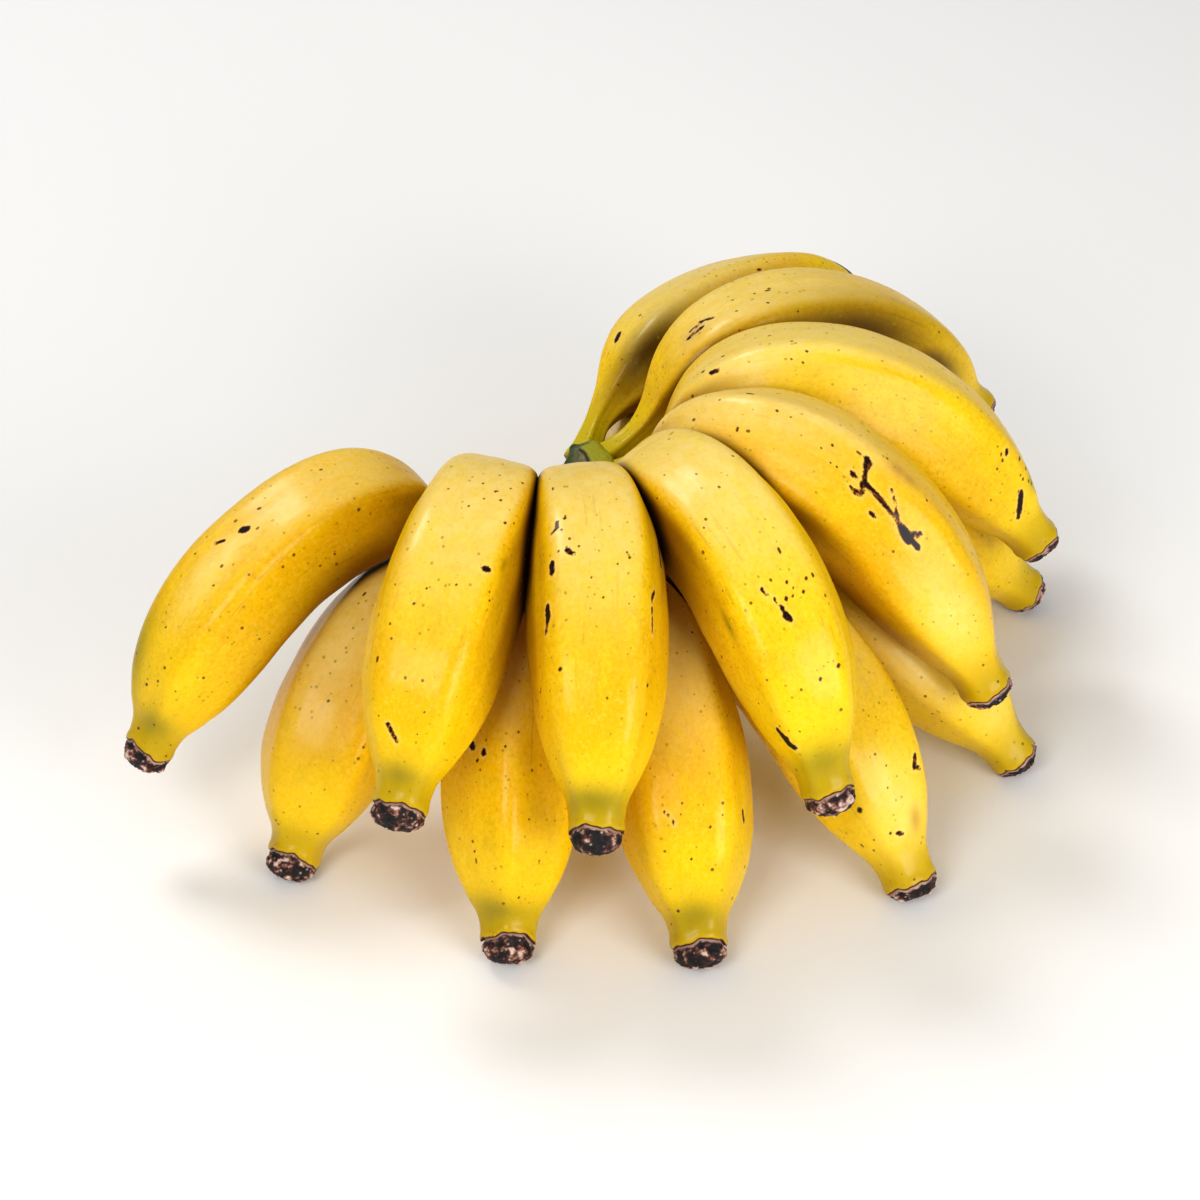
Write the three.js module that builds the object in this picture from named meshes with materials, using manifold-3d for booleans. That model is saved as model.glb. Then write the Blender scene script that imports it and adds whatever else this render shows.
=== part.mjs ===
// A bunch of short plump bananas: two rows of fruit on one crown, as cut from the plant.
// Millimetres, +Z up. The origin lies under the middle of the bunch, on the table that the lower
// row's dried tips stand on, with +X along the longest side.

import * as THREE from "three";
import { mergeVertices } from "three/addons/utils/BufferGeometryUtils.js";
import Module from "manifold-3d";

// A point on the axis of the stalk that the crown was cut from, level with the upper row's roots.
const STALK = new THREE.Vector3(-18, 12.05, 68.1);

// The crown is a thick crescent round that axis. The fruits grow from its outer wall.
const CROWN_OUTER_RADIUS = 20.6;
const CROWN_INNER_TOP_RADIUS = 12.5;
const CROWN_INNER_FOOT_RADIUS = 9.5;
const CROWN_TOP = 5.5;
const CROWN_FOOT = -19.5;
const CROWN_EDGE = 2.6;
const CROWN_START_DEG = 68;
const CROWN_END_DEG = -158;
const CROWN_END_HEIGHT_SHARE = 0.62;
const CROWN_END_TAPER_SHARE = 0.12;
const CROWN_STEPS = 30;

// Solids that touch in the real bunch stay this far apart, and fruits that press on each other, whose
// flattened faces are coarse, a little further.
const GAP = 0.35;
const PRESSED_GAP = 0.5;
const ROOT_RADIUS = CROWN_OUTER_RADIUS + GAP;

// A fruit's radius along its length, each as a share of the whole: a thin neck, a full belly, and
// a bottle shape down to the blossom end.
const FRUIT_OUTLINE = [
  [0, 0.26], [0.08, 0.22], [0.15, 0.36], [0.23, 0.68], [0.31, 0.89], [0.42, 0.98], [0.54, 1],
  [0.65, 1], [0.76, 0.93], [0.84, 0.78], [0.9, 0.59], [0.945, 0.43], [1, 0.38],
];
const NECK_SHARE = 0.17;
const USUAL_BEND = 1.9;

// A fruit's section has five blunt ridges, which stand out by this share of its radius.
const RIDGES = 5;
const RIDGE_SHARE = 0.03;
const FRUIT_RINGS = 20;
const FRUIT_SIDES = 15;
const BALLS_ALONG = 40;
const PRESS_HALVINGS = 14;

// The dried blossom end that each fruit keeps at its tip is a short crumbled dome: its radius along
// its length, as a share of the skin's there, and how far its sides are out of round.
const TIP_LENGTH = 5;
const TIP_OUTLINE = [[0, 0.95], [0.3, 0.97], [0.65, 0.89], [0.88, 0.7], [1, 0.46]];
const TIP_UNEVEN_SHARE = 0.05;
const TIP_LOBES = 3;
const TIP_SIDES = 12;

// Where each fruit grows and how it bends. "round" is its root's angle round the stalk and "level"
// its height there. root, neck and tip are its heading seen from above and its climb, in degrees, at
// the crown, where the neck ends, and at the blossom end. "turn" rolls its ridges, and a higher
// "bend" bends it more near the neck.
const FRUITS = [
  {
    name: "upper_1", round: -142, level: -1, root: [-148, 10], neck: [-144, 36], tip: [-144, -58],
    length: 131, radius: 16.9, turn: 30,
  },
  {
    name: "upper_2", round: -110, level: 0, root: [-104, 15], neck: [-98, 56], tip: [-110, -56],
    length: 134, radius: 18, turn: -42,
  },
  {
    name: "upper_3", round: -78, level: 0, root: [-76, 15], neck: [-76, 54], tip: [-92, -56],
    length: 138, radius: 17.5, turn: -36,
  },
  {
    name: "upper_4", round: -54, level: 0, root: [-50, 15], neck: [-50, 56], tip: [-61, -61],
    length: 144, radius: 17.4, turn: -20,
  },
  {
    name: "upper_5", round: -28, level: 0, root: [-20, 26], neck: [-26, 55], tip: [-25, -58],
    length: 146, radius: 18, turn: 10, bend: 2.3,
  },
  {
    name: "upper_6", round: 2, level: 0, root: [14, 26], neck: [6, 50], tip: [0, -52],
    length: 146, radius: 17.2, turn: 24, bend: 2.3,
  },
  {
    name: "upper_7", round: 28, level: 0, root: [36, 22], neck: [34, 41], tip: [22, -46],
    length: 140, radius: 17, turn: 30, bend: 2,
  },
  {
    name: "upper_8", round: 54, level: -3, root: [74, 24], neck: [52, 22], tip: [40, -22],
    length: 128, radius: 16, turn: 8, bend: 2,
  },
  {
    name: "lower_1", round: -124, level: -12, root: [-130, -2], neck: [-134, 6], tip: [-121, -58],
    length: 110, radius: 17.9, turn: 14,
  },
  {
    name: "lower_2", round: -96, level: -12, root: [-94, 0], neck: [-94, 8], tip: [-92, -54],
    length: 121, radius: 17.9, turn: 0,
  },
  {
    name: "lower_3", round: -72, level: -12, root: [-64, 0], neck: [-60, 8], tip: [-82, -50],
    length: 129, radius: 18.4, turn: -28,
  },
  {
    name: "lower_4", round: -45, level: -12, root: [-40, 0], neck: [-32, 8], tip: [-55, -48],
    length: 135, radius: 18.2, turn: -30,
  },
  {
    name: "lower_5", round: -18, level: -12, root: [-16, 0], neck: [-13, 6], tip: [-23, -47],
    length: 133, radius: 17.3, turn: 6,
  },
  {
    name: "lower_6", round: 12, level: -12, root: [12, 0], neck: [16, 6], tip: [14, -45],
    length: 139, radius: 17.2, turn: 20,
  },
  {
    name: "lower_7", round: 34, level: -12, root: [36, -2], neck: [40, 2], tip: [36, -48],
    length: 122, radius: 17, turn: -8,
  },
  {
    name: "lower_8", round: 58, level: -12, root: [62, -4], neck: [66, -6], tip: [58, -46],
    length: 112, radius: 17, turn: 26,
  },
];

const SKIN_YELLOW = 0xf4c430;
const CROWN_GREEN = 0x5d7440;
const DRIED_BROWN = 0x3f2a24;

const wasm = await Module();
wasm.setup();

const radians = THREE.MathUtils.degToRad;

function smooth(share) {
  const t = THREE.MathUtils.clamp(share, 0, 1);
  return t * t * (3 - 2 * t);
}

// Reads a smooth curve through the given [share, value] points.
function readOutline(points, share) {
  const last = points.length - 1;
  let i = 0;
  while (i < last - 1 && share > points[i + 1][0]) i += 1;
  const slopeAt = (k) => {
    const before = points[Math.max(k - 1, 0)];
    const after = points[Math.min(k + 1, last)];
    return (after[1] - before[1]) / (after[0] - before[0]);
  };
  const [fromShare, fromValue] = points[i];
  const [toShare, toValue] = points[i + 1];
  const width = toShare - fromShare;
  const t = (share - fromShare) / width;
  const rise = smooth(t);
  const startPull = t * (1 - t) * (1 - t) * width * slopeAt(i);
  const endPull = t * t * (t - 1) * width * slopeAt(i + 1);
  return fromValue + (toValue - fromValue) * rise + startPull + endPull;
}

// The heading (index 0) or the climb (index 1) of a fruit's middle line, in radians.
function angleAlong(fruit, share, index) {
  const atRoot = fruit.root[index];
  const atNeck = fruit.neck[index];
  const atTip = fruit.tip[index];
  if (share < NECK_SHARE) return radians(atRoot + (atNeck - atRoot) * smooth(share / NECK_SHARE));
  const t = (share - NECK_SHARE) / (1 - NECK_SHARE);
  const bent = 1 - (1 - t) ** (fruit.bend ?? USUAL_BEND);
  return radians(atNeck + (atTip - atNeck) * bent);
}

function directionsAlong(fruit, share) {
  const heading = angleAlong(fruit, share, 0);
  const climb = angleAlong(fruit, share, 1);
  const level = new THREE.Vector3(Math.cos(heading), Math.sin(heading), 0);
  const forward = level.clone().multiplyScalar(Math.cos(climb));
  forward.z = Math.sin(climb);
  const up = level.multiplyScalar(-Math.sin(climb));
  up.z = Math.cos(climb);
  return { forward, up, side: new THREE.Vector3().crossVectors(forward, up) };
}

// The middle line's points at equal steps, found by walking along its directions.
function middleLine(fruit, steps) {
  const walksPerStep = 12;
  const walk = fruit.length / (steps * walksPerStep);
  const angle = radians(fruit.round);
  const point = new THREE.Vector3(Math.cos(angle), Math.sin(angle), 0).multiplyScalar(ROOT_RADIUS);
  point.z = fruit.level;
  point.add(STALK);
  const points = [point.clone()];
  for (let step = 0; step < steps * walksPerStep; step += 1) {
    const share = (step + 0.5) / (steps * walksPerStep);
    point.addScaledVector(directionsAlong(fruit, share).forward, walk);
    if ((step + 1) % walksPerStep === 0) points.push(point.clone());
  }
  return points;
}

// Balls strung along the middle line fill a fruit, and tell how near a point is to it.
function fillWithBalls(fruit) {
  return middleLine(fruit, BALLS_ALONG).map((centre, k) => (
    { centre, radius: fruit.radius * readOutline(FRUIT_OUTLINE, k / BALLS_ALONG) }
  ));
}

function distanceTo(balls, point) {
  let nearest = Infinity;
  for (const ball of balls) {
    nearest = Math.min(nearest, point.distanceTo(ball.centre) - ball.radius);
  }
  return nearest;
}

// Fruits that grew against each other are flattened where they touch: each keeps only the points
// that are nearer to it than to any other. "place" gives the point at a reach from the middle line,
// and the answer is the furthest one that the fruit keeps.
function pressedPoint(balls, others, place, fullReach) {
  const isOwn = (point) => {
    const own = distanceTo(balls, point);
    return others.every((other) => own + PRESSED_GAP < distanceTo(other, point));
  };
  if (isOwn(place(fullReach))) return place(fullReach);
  let inside = 0;
  let outside = fullReach;
  for (let k = 0; k < PRESS_HALVINGS; k += 1) {
    const middle = (inside + outside) / 2;
    if (isOwn(place(middle))) inside = middle;
    else outside = middle;
  }
  return place(inside);
}

// Slides a point along a direction onto the upright wall round the stalk that the necks grow from.
function slideToWall(point, along) {
  const x = point.x - STALK.x;
  const y = point.y - STALK.y;
  const a = along.x ** 2 + along.y ** 2;
  const b = 2 * (x * along.x + y * along.y);
  const c = x ** 2 + y ** 2 - ROOT_RADIUS ** 2;
  return point.addScaledVector(along, (-b + Math.sqrt(b ** 2 - 4 * a * c)) / (2 * a));
}

// Joins rings of equally many points into one closed skin, with a fan over each end. The rings run
// anticlockwise, seen from the last one.
function skinOver(rings, startPoint, endPoint) {
  const sides = rings[0].length;
  const positions = rings.flat().concat(startPoint, endPoint).flatMap((p) => [p.x, p.y, p.z]);
  const start = rings.length * sides;
  const end = start + 1;
  const index = [];
  for (let j = 0; j < sides; j += 1) {
    const next = (j + 1) % sides;
    const lastRing = (rings.length - 1) * sides;
    index.push(start, next, j);
    index.push(end, lastRing + j, lastRing + next);
    for (let i = 0; i < rings.length - 1; i += 1) {
      const here = i * sides;
      const ahead = here + sides;
      index.push(here + j, here + next, ahead + next);
      index.push(here + j, ahead + next, ahead + j);
    }
  }
  const geometry = new THREE.BufferGeometry();
  geometry.setAttribute("position", new THREE.Float32BufferAttribute(positions, 3));
  geometry.setIndex(index);
  return geometry;
}

function fruitGeometry(fruit, balls, others) {
  const centres = middleLine(fruit, FRUIT_RINGS);
  const rings = centres.map((centre, k) => {
    const share = k / FRUIT_RINGS;
    const { forward, up, side } = directionsAlong(fruit, share);
    const radius = fruit.radius * readOutline(FRUIT_OUTLINE, share);
    return Array.from({ length: FRUIT_SIDES }, (_, j) => {
      const ridgeAngle = (2 * Math.PI * j) / FRUIT_SIDES;
      const angle = ridgeAngle + radians(fruit.turn);
      const outward = up.clone().multiplyScalar(Math.cos(angle)).addScaledVector(side, Math.sin(angle));
      const fullReach = radius * (1 + RIDGE_SHARE * Math.cos(RIDGES * ridgeAngle));
      const place = (reach) => {
        const point = centre.clone().addScaledVector(outward, reach);
        return k === 0 ? slideToWall(point, forward) : point;
      };
      return pressedPoint(balls, others, place, fullReach);
    });
  });
  return skinOver(rings, centres[0], centres[FRUIT_RINGS]);
}

function tipGeometry(fruit) {
  const centres = middleLine(fruit, FRUIT_RINGS);
  const { forward, up, side } = directionsAlong(fruit, 1);
  const base = centres[FRUIT_RINGS].clone().addScaledVector(forward, GAP);
  const skinRadius = fruit.radius * readOutline(FRUIT_OUTLINE, 1);
  const rings = TIP_OUTLINE.map(([share, radiusShare]) => {
    const centre = base.clone().addScaledVector(forward, TIP_LENGTH * share);
    return Array.from({ length: TIP_SIDES }, (_, j) => {
      const angle = (2 * Math.PI * j) / TIP_SIDES;
      const uneven = 1 + TIP_UNEVEN_SHARE * share * Math.sin(TIP_LOBES * angle + fruit.round);
      const reach = skinRadius * radiusShare * uneven;
      return centre.clone()
        .addScaledVector(up, reach * Math.cos(angle))
        .addScaledVector(side, reach * Math.sin(angle));
    });
  });
  const end = base.clone().addScaledVector(forward, TIP_LENGTH);
  return skinOver(rings, base, end);
}

function toSolid(geometry) {
  const bare = geometry.clone();
  bare.deleteAttribute("normal");
  bare.deleteAttribute("uv");
  const merged = mergeVertices(bare, 1e-4);
  return new wasm.Manifold(new wasm.Mesh({
    numProp: 3,
    vertProperties: merged.attributes.position.array,
    triVerts: Uint32Array.from(merged.index.array),
  }));
}

function toGeometry(solid) {
  const { vertProperties, triVerts } = solid.getMesh();
  const geometry = new THREE.BufferGeometry();
  geometry.setAttribute("position", new THREE.Float32BufferAttribute(vertProperties, 3));
  geometry.setIndex(Array.from(triVerts));
  return geometry;
}

// A tip that would reach below the table is worn flat on it.
function standOnTable(geometry) {
  const slab = new THREE.BoxGeometry(600, 600, 60);
  slab.translate(0, 0, -30);
  return toGeometry(toSolid(geometry).subtract(toSolid(slab)));
}

// The crown's upright section at one share of its arc: distance from the stalk's axis and height.
function crownSection(share) {
  const fromEnd = Math.min(share, 1 - share) / CROWN_END_TAPER_SHARE;
  const height = THREE.MathUtils.lerp(CROWN_END_HEIGHT_SHARE, 1, smooth(fromEnd));
  const middle = (CROWN_TOP + CROWN_FOOT) / 2;
  const outline = [
    [CROWN_OUTER_RADIUS, CROWN_FOOT + CROWN_EDGE],
    [CROWN_OUTER_RADIUS, middle],
    [CROWN_OUTER_RADIUS, CROWN_TOP - CROWN_EDGE],
    [CROWN_OUTER_RADIUS - 0.3 * CROWN_EDGE, CROWN_TOP - 0.3 * CROWN_EDGE],
    [CROWN_OUTER_RADIUS - CROWN_EDGE, CROWN_TOP],
    [CROWN_INNER_TOP_RADIUS + 0.4 * CROWN_EDGE, CROWN_TOP],
    [CROWN_INNER_TOP_RADIUS, CROWN_TOP - 0.4 * CROWN_EDGE],
    [(CROWN_INNER_TOP_RADIUS + CROWN_INNER_FOOT_RADIUS) / 2 + 0.5, middle],
    [CROWN_INNER_FOOT_RADIUS, CROWN_FOOT + 0.6 * CROWN_EDGE],
    [CROWN_INNER_FOOT_RADIUS + 0.6 * CROWN_EDGE, CROWN_FOOT],
    [CROWN_OUTER_RADIUS - CROWN_EDGE, CROWN_FOOT],
    [CROWN_OUTER_RADIUS - 0.3 * CROWN_EDGE, CROWN_FOOT + 0.3 * CROWN_EDGE],
  ];
  return outline.map(([radius, level]) => [radius, middle + (level - middle) * height]);
}

function crownGeometry() {
  const placeSection = (share) => {
    const angle = radians(THREE.MathUtils.lerp(CROWN_START_DEG, CROWN_END_DEG, share));
    return crownSection(share).map(([radius, level]) => (
      new THREE.Vector3(radius * Math.cos(angle), radius * Math.sin(angle), level).add(STALK)
    ));
  };
  const rings = Array.from({ length: CROWN_STEPS + 1 }, (_, k) => placeSection(k / CROWN_STEPS));
  const middleOf = (ring) => (
    ring.reduce((sum, p) => sum.add(p), new THREE.Vector3()).divideScalar(ring.length)
  );
  return skinOver(rings, middleOf(rings[0]), middleOf(rings[CROWN_STEPS]));
}

function namedMesh(name, geometry, color, roughness) {
  const mesh = new THREE.Mesh(
    geometry,
    new THREE.MeshStandardMaterial({ color, roughness, metalness: 0, flatShading: true }),
  );
  mesh.name = name;
  return mesh;
}

const bunch = new THREE.Group();
bunch.name = "bunch_of_bananas";
bunch.add(namedMesh("crown", crownGeometry(), CROWN_GREEN, 0.7));

const allBalls = FRUITS.map(fillWithBalls);
FRUITS.forEach((fruit, k) => {
  const others = allBalls.filter((_, other) => other !== k);
  const skin = fruitGeometry(fruit, allBalls[k], others);
  bunch.add(namedMesh(`banana_${fruit.name}`, skin, SKIN_YELLOW, 0.45));
  const tip = standOnTable(tipGeometry(fruit));
  bunch.add(namedMesh(`blossom_end_${fruit.name}`, tip, DRIED_BROWN, 0.9));
});

export default bunch;
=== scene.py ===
import math
import random

import bpy
import numpy as np
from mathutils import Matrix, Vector, noise


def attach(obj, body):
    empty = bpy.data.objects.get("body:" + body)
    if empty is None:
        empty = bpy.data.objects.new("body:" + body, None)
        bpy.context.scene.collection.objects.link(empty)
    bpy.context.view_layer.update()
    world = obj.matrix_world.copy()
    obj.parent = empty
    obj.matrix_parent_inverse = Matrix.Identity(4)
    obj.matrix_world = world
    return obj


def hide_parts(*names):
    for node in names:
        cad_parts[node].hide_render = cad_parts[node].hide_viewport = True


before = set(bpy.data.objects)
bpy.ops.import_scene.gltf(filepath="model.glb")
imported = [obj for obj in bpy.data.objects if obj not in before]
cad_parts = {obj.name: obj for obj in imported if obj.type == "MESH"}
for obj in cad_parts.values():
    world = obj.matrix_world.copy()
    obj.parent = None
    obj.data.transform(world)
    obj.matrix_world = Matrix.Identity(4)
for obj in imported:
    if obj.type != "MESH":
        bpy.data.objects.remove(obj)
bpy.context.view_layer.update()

# The bananas.
# Short, plump dessert bananas, each with a soft five-ridged skin that narrows to a neck at one end
# and to a bottle shape at the other. They grew packed side by side, so they are a little flattened
# where they touch, and their necks are grown into the crown.

MM = 0.001
STALK = np.array([-18, 12.05, 68.1])
ROOT_RADIUS = 20.95
NECK_IN_CROWN = 2.6
FRUIT_OUTLINE = [
    (0, 0.26), (0.08, 0.22), (0.15, 0.36), (0.23, 0.68), (0.31, 0.89), (0.42, 0.98), (0.54, 1),
    (0.65, 1), (0.76, 0.93), (0.84, 0.78), (0.9, 0.59), (0.945, 0.43), (1, 0.38),
]
NECK_SHARE = 0.17
USUAL_BEND = 1.9
FRUIT_RINGS = 190
FRUIT_SIDES = 112
BALLS_ALONG = 80
PRESSED_GAP = 0.06
NEAR_ENOUGH_TO_PRESS = 2
PRESSING_HALVINGS = 11
ROOT_FLARE = 0.3
ROOT_FLARE_LENGTH = 3.2
LIP_HEIGHT = 0.35
LIP_WIDTH = 1.2

# Each fruit's root angle round the stalk and level there, its heading and climb at the root, at the
# neck's end and at the tip, in degrees, its length and radius in millimetres, and its ridges' turn.
FRUITS = {
    "upper_1": dict(round=-142, level=-1, root=(-148, 10), neck=(-144, 36), tip=(-144, -58),
                    length=131, radius=16.9, turn=30),
    "upper_2": dict(round=-110, level=0, root=(-104, 15), neck=(-98, 56), tip=(-110, -56),
                    length=134, radius=18, turn=-42),
    "upper_3": dict(round=-78, level=0, root=(-76, 15), neck=(-76, 54), tip=(-92, -56),
                    length=138, radius=17.5, turn=-36),
    "upper_4": dict(round=-54, level=0, root=(-50, 15), neck=(-50, 56), tip=(-61, -61),
                    length=144, radius=17.4, turn=-20),
    "upper_5": dict(round=-28, level=0, root=(-20, 26), neck=(-26, 55), tip=(-25, -58),
                    length=146, radius=18, turn=10, bend=2.3),
    "upper_6": dict(round=2, level=0, root=(14, 26), neck=(6, 50), tip=(0, -52),
                    length=146, radius=17.2, turn=24, bend=2.3),
    "upper_7": dict(round=28, level=0, root=(36, 22), neck=(34, 41), tip=(22, -46),
                    length=140, radius=17, turn=30, bend=2),
    "upper_8": dict(round=54, level=-3, root=(74, 24), neck=(52, 22), tip=(40, -22),
                    length=128, radius=16, turn=8, bend=2),
    "lower_1": dict(round=-124, level=-12, root=(-130, -2), neck=(-134, 6), tip=(-121, -58),
                    length=110, radius=17.9, turn=14),
    "lower_2": dict(round=-96, level=-12, root=(-94, 0), neck=(-94, 8), tip=(-92, -54),
                    length=121, radius=17.9, turn=0),
    "lower_3": dict(round=-72, level=-12, root=(-64, 0), neck=(-60, 8), tip=(-82, -50),
                    length=129, radius=18.4, turn=-28),
    "lower_4": dict(round=-45, level=-12, root=(-40, 0), neck=(-32, 8), tip=(-55, -48),
                    length=135, radius=18.2, turn=-30),
    "lower_5": dict(round=-18, level=-12, root=(-16, 0), neck=(-13, 6), tip=(-23, -47),
                    length=133, radius=17.3, turn=6),
    "lower_6": dict(round=12, level=-12, root=(12, 0), neck=(16, 6), tip=(14, -45),
                    length=139, radius=17.2, turn=20),
    "lower_7": dict(round=34, level=-12, root=(36, -2), neck=(40, 2), tip=(36, -48),
                    length=122, radius=17, turn=-8),
    "lower_8": dict(round=58, level=-12, root=(62, -4), neck=(66, -6), tip=(58, -46),
                    length=112, radius=17, turn=26),
}


def smooth(share):
    t = np.clip(share, 0, 1)
    return t * t * (3 - 2 * t)


def read_outline(points, share):
    """A smooth curve through the (share, value) points, read at an array of shares."""
    shares, values = np.array(points, float).T
    last = len(shares) - 1
    before = np.maximum(np.arange(last + 1) - 1, 0)
    after = np.minimum(np.arange(last + 1) + 1, last)
    slopes = (values[after] - values[before]) / (shares[after] - shares[before])
    share = np.clip(share, shares[0], shares[-1])
    i = np.clip(np.searchsorted(shares, share) - 1, 0, last - 1)
    width = shares[i + 1] - shares[i]
    t = (share - shares[i]) / width
    pull = t * (1 - t) ** 2 * width * slopes[i] + t ** 2 * (t - 1) * width * slopes[i + 1]
    return values[i] + (values[i + 1] - values[i]) * smooth(t) + pull


def angle_along(fruit, share, index):
    """The heading (index 0) or the climb (index 1) of a fruit's middle line, in radians."""
    root, neck, tip = (fruit[part][index] for part in ("root", "neck", "tip"))
    t = np.clip((share - NECK_SHARE) / (1 - NECK_SHARE), 0, 1)
    bent = 1 - (1 - t) ** fruit.get("bend", USUAL_BEND)
    in_neck = root + (neck - root) * smooth(share / NECK_SHARE)
    return np.radians(np.where(share < NECK_SHARE, in_neck, neck + (tip - neck) * bent))


def directions_along(fruit, share):
    heading, climb = angle_along(fruit, share, 0), angle_along(fruit, share, 1)
    level = np.stack([np.cos(heading), np.sin(heading), np.zeros_like(heading)], -1)
    rise = np.array([0, 0, 1.0])
    forward = level * np.cos(climb)[..., None] + rise * np.sin(climb)[..., None]
    up = rise * np.cos(climb)[..., None] - level * np.sin(climb)[..., None]
    return forward, up, np.cross(forward, up)


def middle_line(fruit, share):
    """Points of the middle line at an array of shares of its length, a little before 0 too."""
    walks = 720
    middles = (np.arange(walks) + 0.5) / walks
    steps = directions_along(fruit, middles)[0] * fruit["length"] / walks
    angle = math.radians(fruit["round"])
    root = STALK + [ROOT_RADIUS * math.cos(angle), ROOT_RADIUS * math.sin(angle), fruit["level"]]
    walked = root + np.vstack([np.zeros(3), np.cumsum(steps, 0)])
    grid = np.linspace(0, 1, walks + 1)
    points = np.stack([np.interp(share, grid, walked[:, axis]) for axis in range(3)], -1)
    back = np.minimum(share, 0)[..., None] * fruit["length"]
    return points + back * directions_along(fruit, np.zeros(1))[0]


def fill_with_balls(fruit):
    share = np.linspace(0, 1, BALLS_ALONG + 1)
    return middle_line(fruit, share), fruit["radius"] * read_outline(FRUIT_OUTLINE, share)


def distance_to(balls, points):
    centres, radii = balls
    return (np.linalg.norm(points[:, None] - centres, axis=-1) - radii).min(-1)


def press(balls, others, centres, outward, reach):
    """Shortens the reaches so that each point stays nearer to its own fruit than to any other."""
    def is_own(rows, tried):
        points = centres[rows] + outward[rows] * tried[:, None]
        other = np.min([distance_to(balls_of, points) for balls_of in others], 0)
        return distance_to(balls, points) + PRESSED_GAP < other

    pressed = np.flatnonzero(~is_own(np.arange(len(reach)), reach))
    inside, outside = np.zeros(len(pressed)), reach[pressed].copy()
    for _ in range(PRESSING_HALVINGS):
        middle = (inside + outside) / 2
        own = is_own(pressed, middle)
        inside, outside = np.where(own, middle, inside), np.where(own, outside, middle)
    reach = reach.copy()
    reach[pressed] = inside
    return reach


def closed_tube(name, rings):
    """A mesh of quads over rings of points, with a fan over each end."""
    count, sides = rings.shape[:2]
    points = np.vstack([rings.reshape(-1, 3), rings[0].mean(0), rings[-1].mean(0)]) * MM
    here = (np.arange(count - 1) * sides)[:, None] + np.arange(sides)
    following = (np.arange(count - 1) * sides)[:, None] + (np.arange(sides) + 1) % sides
    faces = np.stack([here, following, following + sides, here + sides], -1).reshape(-1, 4).tolist()
    start, end = count * sides, count * sides + 1
    for j in range(sides):
        ahead = (j + 1) % sides
        faces.append([start, ahead, j])
        faces.append([end, start - sides + j, start - sides + ahead])
    mesh = bpy.data.meshes.new(name)
    mesh.from_pydata(points.tolist(), [], faces)
    mesh.polygons.foreach_set("use_smooth", [True] * len(mesh.polygons))
    return mesh


def paint(mesh, name, values):
    """Keeps one value, or one row of three, for each point. The two end points take the last ones."""
    values = np.asarray(values, float)
    values = np.concatenate([values, values[:1], values[-1:]])
    kind = "FLOAT" if values.ndim == 1 else "FLOAT_VECTOR"
    layer = mesh.attributes.new(name, kind, "POINT")
    layer.data.foreach_set("value" if values.ndim == 1 else "vector", values.ravel())


def place_piece(name, mesh, material, node):
    piece = bpy.data.objects.new(name, mesh)
    bpy.context.collection.objects.link(piece)
    mesh.materials.append(material)
    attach(piece, "root")
    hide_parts(node)
    return piece


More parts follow.
